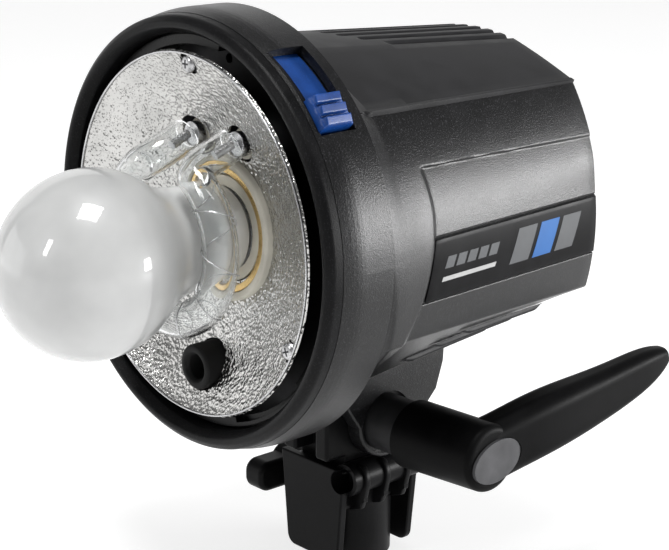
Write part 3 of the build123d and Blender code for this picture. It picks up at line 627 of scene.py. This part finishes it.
def flow_from_collar(x, z, y):
    """Brings a point of the first rows onto the collar's circle, so that the shell grows out of it."""
    flow_length, side_low = 14.0, -27.0
    reach = hypot(x, z)
    blend = 1 - ease((y - COLLAR_BACK) / flow_length)
    if z < side_low and reach < COLLAR_R:
        grown = mix(reach, COLLAR_R, blend)
    else:
        grown = min(reach, COLLAR_R + 5.0 * (1 - blend))
    return x * grown / reach, z * grown / reach


def mirrored(half):
    """Whole outline from its right half, whose last point lies on the middle."""
    return half + [(-u, v) for u, v in reversed(half[:-1])]


def lower_shell():
    """Lower housing: a skin through its outlines, from the collar to the rear panel."""
    rows = steps((COLLAR_BACK + 0.1, -40.0, 10), (-40.0, -24.0, 34), (-24.0, SHELL_BACK, 16))
    outlines = [mirrored(shell_outline(y)) for y in rows]
    points = [(x, y, z + AXIS_Z) for y, outline in zip(rows, outlines) for x, z in outline]
    faces = grid_faces(len(rows), len(outlines[0]))
    shell = make("housing_shell", points, faces, "head", "shell_charcoal", ["lower_shell"])
    thicken(shell, 2.4)
    bevel(shell, 0.5, 3, 60)
    return shell


def thicken(piece, depth):
    """Gives a sheet thickness on its inner side."""
    wall = piece.modifiers.new("wall", "SOLIDIFY")
    wall.thickness = depth * MM
    wall.offset = -1.0
    wall.use_even_offset = True
    wall.use_quality_normals = True
    settle(piece)


FLUTES = 7
FLUTE_PITCH = 6.0
FLUTE_DEPTH, FLUTE_R = 1.55, 1.75


def flute_depth(x, y):
    """Depth of the nearest groove of the top: round in section and at its front end."""
    index = min(max(round(x / FLUTE_PITCH), -(FLUTES // 2)), FLUTES // 2)
    middle = index * FLUTE_PITCH
    start = -12.4 + 0.036 * middle * middle
    away = hypot(x - middle, min(y - start, 0.0))
    return FLUTE_DEPTH * ease(1.12 - away / FLUTE_R)


def cover_height(x, y):
    """Height of the top cover over the optical axis at x, on its arc and its slopes."""
    top, shoulder_z, bulge, corner_x, corner_z = section_sizes(y)[:5]
    x = abs(x)
    if x <= SHOULDER_X:
        cz, r = circle_through((-SHOULDER_X, shoulder_z), (0.0, top), (SHOULDER_X, shoulder_z))[1:]
        return cz + sqrt(r * r - x * x)
    t = (x - SHOULDER_X) / (corner_x - SHOULDER_X)
    return mix(shoulder_z, corner_z, t) + 4 * 0.94 * bulge * t * (1 - t)


def cover_outline(y):
    """Right half of the top cover at y, from the seam up to the middle."""
    corner_x, corner_z = section_sizes(y)[3:5]
    seam = seam_z(y) + SEAM_GAP
    edge = [(side_x(y, min(seam, corner_z)) - 0.05, seam - 0.02)]
    bend = [(corner_x - 0.4 * (k / 3), corner_z + 0.45 * sqrt(k / 3)) for k in range(1, 4)]
    slope = [corner_x - 0.6 - (corner_x - SHOULDER_X - 0.6) * k / 9 for k in range(10)]
    fluted = [19.4 - 0.4 * k for k in range(1, 48)] + [0.0]
    face = [(x, cover_height(x, y) - flute_depth(x, y)) for x in slope + fluted]
    return edge + bend + face


def top_cover():
    """Top cover with its grooves, lofted like the shell below it."""
    rows = steps((COLLAR_BACK + 0.1, SHOULDER_BACK - 0.9, 6), (SHOULDER_BACK - 0.9, SHOULDER_BACK + 0.9, 4),
                 (SHOULDER_BACK + 0.9, -16.0, 6), (-16.0, -2.0, 30), (-2.0, SHELL_BACK, 14))
    outlines = [mirrored(cover_outline(y)) for y in rows]
    points = [(x, y, z + AXIS_Z) for y, outline in zip(rows, outlines) for x, z in outline]
    faces = grid_faces(len(rows), len(outlines[0]))
    cover = make("grooved_top", points, faces, "head", "cover_grey", ["top_cover"])
    thicken(cover, 1.4)
    bevel(cover, 0.35, 3, 60)
    return cover


# ---- labels -------------------------------------------------------------------
def label_patch(name, corners, slot, side, rise=0.68, depth=0.12, replaces=(), look=None):
    """Flat patch on the sunk side panel: four (y, z) corners, curved to the housing."""
    columns, rows = 24, 12
    points = []
    for i in range(rows + 1):
        for j in range(columns + 1):
            left = [mix(p, q, i / rows) for p, q in zip(corners[0], corners[3])]
            right = [mix(p, q, i / rows) for p, q in zip(corners[1], corners[2])]
            y, z = (mix(p, q, j / columns) for p, q in zip(left, right))
            points.append((side * (side_x(y, z) - RECESS + rise), y, z + AXIS_Z))
    patch = make(name, points, grid_faces(rows + 1, columns + 1), "head", slot, replaces, look=look)
    if patch.data.polygons[0].normal.x * side < 0:
        patch.data.flip_normals()
    thicken(patch, depth)
    return patch


def slanted(start, length, low_z, high_z):
    """Corners of a bar that leans backwards."""
    rise = (high_z - low_z) * 0.42
    return [(start, low_z), (start + length, low_z), (start + length + rise, high_z), (start + rise, high_z)]


def labels():
    """Black label strips with plain slanted bars in grey and blue, and no lettering."""
    bars = [("large_a", slanted(9.0, 9.5, -10.6, 0.4), "print_grey"),
            ("large_b", slanted(20.6, 9.5, -10.6, 0.4), "print_blue"),
            ("large_c", slanted(32.2, 9.5, -10.6, 0.4), "print_grey")]
    for i in range(5):
        bars.append((f"small_{i}", slanted(-22.5 + 5.2 * i, 4.0, -5.6, -2.0), "print_grey"))
    bars.append(("line", slanted(-23.6, 25.4, -9.6, -8.2), "print_white"))
    slots = {"print_grey": "cap_grey", "print_blue": "lock_blue", "print_white": "ceramic_white"}
    for side, tag in ((1, "right"), (-1, "left")):
        end = SHELL_BACK - 0.4
        edge = [(-30.4, LABEL_LOW), (end, LABEL_LOW), (end, LABEL_TOP), (-26.4, LABEL_TOP)]
        strip = label_patch(f"label_strip_{tag}", edge, "badge_black", side,
                            rise=0.6, depth=0.5, replaces=[f"side_badge_{tag}"])
        bevel(strip, 0.18, 2, 60)
        for name, corners, colour in bars:
            label_patch(f"label_{name}_{tag}", corners, slots[colour], side, look=colour)


def belly_ribs():
    """Long ribs on the slanting underside, which rise and fall softly at their ends."""
    for side, tag in ((1, "right"), (-1, "left")):
        for index, share in enumerate((0.30, 0.52, 0.74)):
            start, end = -2.0 - 7.0 * index, SHELL_BACK - 16.0 - 6.0 * index
            rows = steps((start, end, 30))
            section = [(-0.9, -0.1), (-0.75, 0.7), (-0.4, 1.0), (0.0, 1.06), (0.4, 1.0), (0.75, 0.7),
                       (0.9, -0.1)]
            points = []
            for y in rows:
                low_x, low_z, belly_z = section_sizes(y)[6:]
                run = Vector((BELLY_X - low_x, belly_z - low_z)).normalized()
                out = Vector((-run.y, run.x))
                out = out if out.y < 0 else -out
                foot = Vector((low_x, low_z)).lerp(Vector((BELLY_X, belly_z)), share)
                rise = 1.35 * ease(min(y - start, end - y) / 5.0)
                for u, v in section:
                    spot = foot + run * u + out * (v * rise - 0.05)
                    points.append((side * spot.x, y, spot.y + AXIS_Z))
            faces = grid_faces(len(rows), len(section), wrap_columns=True)
            replaced = ["belly_louvres"] if side == 1 and index == 0 else []
            make(f"belly_rib_{index}_{tag}", points, faces, "head", "cover_grey", replaced)


# ---- ring, slider, dish ---------------------------------------------------------
def front_ring():
    """Ring with a full shoulder and a rounded lip at the channel."""
    back, lip, spigot_in, spigot_out = RING_BACK - 0.15, 62.6, 64.9, 66.9
    outline = [(RING_R, back, 0.35), (RING_R, back - 1.2, 1.0), (RING_R - 0.5, RING_FRONT + 1.5, 2.2),
               (RING_R - 2.5, RING_FRONT, 1.6), (lip + 2.0, RING_FRONT + 0.1, 1.4),
               (lip, RING_FRONT + 3.2, 1.6), (lip, back + 0.2, 0.4), (spigot_in, back + 0.2, 0),
               (spigot_in, back + 2.6, 0.3), (spigot_out, back + 2.6, 0.3), (spigot_out, back, 0)]
    lathe("ring_shoulder", rounded(outline, steps=7), "head", "ring_black", ["front_ring"], steps=240)


def lock_slider():
    """Blue slider: a curved plate in the slot and a thumb button with three ridges."""
    y0, y1 = low("lock_slider").y, high("lock_slider").y
    plate_start, plate_end, start, end = 28.0, 71.4, 45.5, 54.4     # degrees from the top
    plate_in, plate_out, button_rise, ridge_rise = 65.4, 66.85, 4.3, 1.9
    pitch = (end - start) / 3
    rows = steps((y0, y1, 52))
    angles = steps((plate_start, start - 1.2, 20), (start - 1.2, end + 1.2, 90), (end + 1.2, plate_end, 16))
    points = []
    for a in angles:
        for y in rows:
            inside = min(y - y0, y1 - y)
            body = ease((a - start + 0.25) / 0.6) * ease((end - a + 0.25) / 0.6) * ease(inside / 0.7)
            ridge = (a - start) / pitch % 1.0
            slope = ease((ridge - 0.10) / 0.14) * ease((0.92 - ridge) / 0.12) * (1.15 - 0.75 * ridge)
            crest = min(slope, 1.0) * ease((inside - 0.8) / 0.9)
            r = plate_out + body * (button_rise + ridge_rise * crest)
            if inside < 0.01:
                r = plate_out - 0.15
            points.append((r * sin(radians(a)), y, AXIS_Z + r * cos(radians(a))))
    for a in angles:
        for y in rows:
            points.append((plate_in * sin(radians(a)), y, AXIS_Z + plate_in * cos(radians(a))))
    count, across = len(angles), len(rows)
    under = count * across
    faces = grid_faces(count, across)
    faces += [tuple(under + v for v in reversed(face)) for face in grid_faces(count, across)]
    for i in range(count - 1):
        for j in (0, across - 1):
            a, b = i * across + j, (i + 1) * across + j
            faces.append((a, b, under + b, under + a))
    for j in range(across - 1):
        for i in (0, count - 1):
            a, b = i * across + j, i * across + j + 1
            faces.append((a, b, under + b, under + a))
    make("slider_plate", points, faces, "bayonet_lock", "lock_blue", ["lock_slider"], sharp=50)


DISH_FLOOR_R = 17.0
SCREW_CIRCLE = 53.5
SCREW_ANGLES = (0, 120, 240)


def dish_y(r):
    """Depth of the dish at a radius."""
    return -53.6 - 16.6 * (max(r - DISH_FLOOR_R, 0.0) / (DISH_R - DISH_FLOOR_R)) ** 1.5


def dish_holes():
    """Holes of the dish as (x, z, radius): umbrella tube, flash tube legs and screws."""
    holes = [(0.0, UMBRELLA, 7.9)]
    holes += [(s * CONTACTS[0], CONTACTS[1], 6.0) for s in (-1, 1)]
    holes += [(SCREW_CIRCLE * sin(radians(a)), SCREW_CIRCLE * cos(radians(a)), 3.3) for a in SCREW_ANGLES]
    return holes


def hammered_dish():
    """Dish whose face is beaten into small round facets, with rolled outer edge."""
    rings, spokes = 84, 520
    pebble, dent_depth, snap = 1.55, 0.52, 0.42
    points = []
    for i in range(rings + 1):
        r = mix(DISH_FLOOR_R + 0.3, DISH_R, i / rings)
        for k in range(spokes):
            a = 2 * pi * (k + 0.5 * (i % 2)) / spokes
            x, z = r * sin(a), r * cos(a)
            for hx, hz, hr in dish_holes():
                d = hypot(x - hx, z - hz)
                if abs(d - hr) < snap:
                    x, z = hx + (x - hx) * hr / d, hz + (z - hz) * hr / d
            near = noise.voronoi(Vector((x, z, 0.0)) / pebble)[0]
            dent = dent_depth * (near[0] ** 1.3) * ease((DISH_R - r) / 1.2) * ease((r - 18.5) / 1.5)
            points.append((x, dish_y(hypot(x, z)) + dent, z + AXIS_Z))
    faces = []
    for face in grid_faces(rings + 1, spokes, wrap_columns=True):
        mx = sum(points[v][0] for v in face) / 4
        mz = sum(points[v][2] for v in face) / 4 - AXIS_Z
        if all(hypot(mx - hx, mz - hz) > hr for hx, hz, hr in dish_holes()):
            faces.append(face)
    dish = make("hammered_dish", points, faces, "head", "reflector_alu", ["reflector"], sharp=70)
    if sum(p.normal.y for p in dish.data.polygons) > 0:
        dish.data.flip_normals()
    thicken(dish, 0.8)
    rim = [(DISH_R - 0.5, dish_y(DISH_R) - 0.5, 0.4), (DISH_R + 0.15, dish_y(DISH_R) - 0.5, 0.4),
           (DISH_R + 0.15, dish_y(DISH_R) + 1.2, 0.3), (DISH_R - 0.5, dish_y(DISH_R) + 1.2, 0.3)]
    lathe("dish_rim", rounded(rim, steps=4), "head", "steel", steps=220)


def dish_screws():
    """Three pan-head screws, each with a dark cross at its face as the painted shade of a cross recess, at the rim
    of the dish.
    """
    seat = low("reflector_screws").y
    head = [(0.0, seat), (1.4, seat + 0.05), (2.2, seat + 0.35), (2.8, seat + 1.0), (2.9, seat + 1.6),
            (0.0, seat + 1.6)]
    for index, angle in enumerate(SCREW_ANGLES):
        place = (SCREW_CIRCLE * sin(radians(angle)), 0.0, AXIS_Z + SCREW_CIRCLE * cos(radians(angle)))
        lathe(f"dish_screw_{index}", head, "head", "steel",
              ["reflector_screws"] if index == 0 else [], centre=place, steps=40)
        # A dark cross just proud of each head, in darker steel: the recess's shade painted on, not a hollow.
        points = []
        for y in (seat - 0.04, seat + 0.5):
            for turn in range(4):
                a = radians(90 * turn + 20 * index)
                across, along = Vector((cos(a), 0, sin(a))), Vector((-sin(a), 0, cos(a)))
                for u, v in ((0.28, 0.28), (0.28, 1.35), (-0.28, 1.35)):
                    spot = Vector(place) + across * u + along * v
                    points.append((spot.x, y, spot.z))
        faces = grid_faces(2, 12, wrap_columns=True) + [tuple(range(12)), tuple(range(12, 24))[::-1]]
        make(f"dish_screw_{index}_painted_recess_shade", points, faces, "head", "steel", look="steel_black")


def lamp_mount():
    """Fired ceramic collar round the lamp, with a thin brass ring inside it."""
    collar = [(20.6, -54.2, 0.3), (20.6, -56.6, 0.6), (23.2, -57.0, 0.9), (23.5, -54.0, 0.5)]
    lathe("lamp_collar", rounded(collar, steps=6), "head", "ceramic_white", steps=120)
    band = [(18.4, -53.8, 0.2), (18.4, -56.2, 0.3), (20.5, -56.2, 0.3), (20.5, -53.8, 0.2)]
    lathe("lamp_band", rounded(band, steps=3), "head", "brass", steps=120)


def bulb():
    """Blown glass bulb with a thin wall, necked down to its cap, which sags a little in its holder."""
    centre, big, foot, sag, wall = -106.0, 28.8, -56.0, 0.054, 0.9
    outer = [(big * sin(radians(a)), centre - big * cos(radians(a))) for a in range(0, 118, 4)]
    bend = [(24.2, -90.6), (21.9, -87.2), (20.0, -84.4), (18.6, -81.4), (17.6, -78.2), (16.8, -74.0),
            (16.3, -69.0), (16.0, -62.0), (14.6, -57.0), (12.8, -54.8)]
    skin = outer + bend
    inside = [(max(r - wall, 0.0), y + (wall if i < 8 else 0.0)) for i, (r, y) in enumerate(skin)]
    glass = lathe("lamp_bulb", skin + inside[::-1], "head", "frosted_glass",
                  ["modelling_lamp_glass"], steps=128, sharp=80)
    for vertex in glass.data.vertices:
        vertex.co.z += sag * (vertex.co.y - foot * MM)


def flash_tube():
    """Hollow glass ring with two legs, its electrodes and the fine wire round it."""
    ring_r, ring_y, glass_r = 25.5, -76.5, 5.5
    opening = asin(10.0 / ring_r)
    reach = ring_r * cos(opening)
    contact_x, contact_z = CONTACTS
    leg = [(contact_x, -61.0, contact_z), (contact_x - 0.3, -67.0, mix(contact_z, reach, 0.45)),
           (10.8, -72.4, reach + 1.0)]
    turn = [(ring_r * sin(a), ring_y, ring_r * cos(a))
            for a in (opening + 0.14 + (2 * pi - 2 * opening - 0.28) * k / 90 for k in range(91))]
    path = leg + turn + [(-x, y, z) for x, y, z in reversed(leg)]
    path = smooth_path([Vector((x, y, z + AXIS_Z)) for x, y, z in path], 2)
    sides = 24
    outer, inner = tube_points(path, glass_r, sides), tube_points(path, glass_r - 1.1, sides)
    count = len(path)
    faces = grid_faces(count, sides, wrap_columns=True)
    faces += [tuple(count * sides + v for v in reversed(face)) for face in faces]
    for row in (0, count - 1):
        for k in range(sides):
            a, b = row * sides + k, row * sides + (k + 1) % sides
            faces.append((a, b, count * sides + b, count * sides + a))
    make("flash_ring", outer + inner, faces, "head", "clear_glass", ["flash_tube_glass"], sharp=60)
    for side, tag in ((1, "right"), (-1, "left")):
        stem = [Vector((side * x, y, z + AXIS_Z)) for x, y, z in leg]
        path = smooth_path([stem[0] + (stem[0] - stem[1]) * 0.1] + stem[:2], 1)
        tube(f"electrode_{tag}", path, 1.5, "head", "steel", sides=14)
    wire, wire_r, turns = [], glass_r + 0.35, 11.0
    for k in range(261):
        a = opening + 0.3 + (2 * pi - 2 * opening - 0.6) * k / 260
        r = ring_r + wire_r * cos(a * turns)
        wire.append((r * sin(a), ring_y + wire_r * sin(a * turns), r * cos(a) + AXIS_Z))
    tube("starting_wire", wire, 0.22, "head", "steel", ["trigger_wire"], sides=8)


def smooth_path(path, rounds):
    """Corner cutting that keeps the ends."""
    for _ in range(rounds):
        cut = [path[0]]
        for a, b in zip(path, path[1:]):
            cut += [a.lerp(b, 0.25), a.lerp(b, 0.75)]
        path = cut + [path[-1]]
    return path


def barrel_bands():
    """Three ribs that wrap the bracket's umbrella barrel and taper into the socket tube."""
    centre_x, centre_z, band_r, top, half = 13.9, 33.0, 6.7, 38.4, 1.05
    for index, y in enumerate((-10.8, -1.4, 8.2)):
        outline = [(11.2, top, 0)]
        outline += [(centre_x + band_r * sin(radians(a)), min(centre_z + band_r * cos(radians(a)), top), 0)
                    for a in range(30, 111, 10)]
        outline += [(19.3, 27.2, 1.0), (17.6, 22.6, 1.2), (12.0, 20.6, 0)]
        outline = rounded(outline, steps=4)
        points = [(x, y + d, z) for d in (-half, half) for x, z in outline]
        count = len(outline)
        faces = grid_faces(2, count, wrap_columns=True)
        faces += [tuple(range(count)), tuple(range(2 * count - 1, count - 1, -1))]
        band = make(f"barrel_band_{index}", points, faces, "stand", "bracket_black")
        bevel(band, 0.35, 2, 40)


def grommet():
    """Rubber mouth of the umbrella tube, with a rolled lip."""
    front, back, end = low("umbrella_tube").y, low("reflector_carrier").y - 0.2, high("umbrella_tube").y
    outline = [(4.1, front + 1.4, 1.2), (5.2, front, 1.0), (7.4, front + 0.3, 1.5), (7.4, back, 0.3),
               (5.0, back, 0.2), (5.0, end, 0.3), (4.1, end, 0.3)]
    lathe("umbrella_sleeve", rounded(outline, steps=5), "head", "rubber_black",
          ["umbrella_tube"], centre=(0.0, 0.0, AXIS_Z + UMBRELLA), steps=72)


# ---- assembly -----------------------------------------------------------------
camera()
floor()
lights()
dress_cad_nodes()
lower_shell()
top_cover()
labels()
belly_ribs()
front_ring()
lock_slider()
hammered_dish()
dish_screws()
lamp_mount()
bulb()
flash_tube()
grommet()
barrel_bands()
bpy.context.scene.view_settings.view_transform = "Standard"
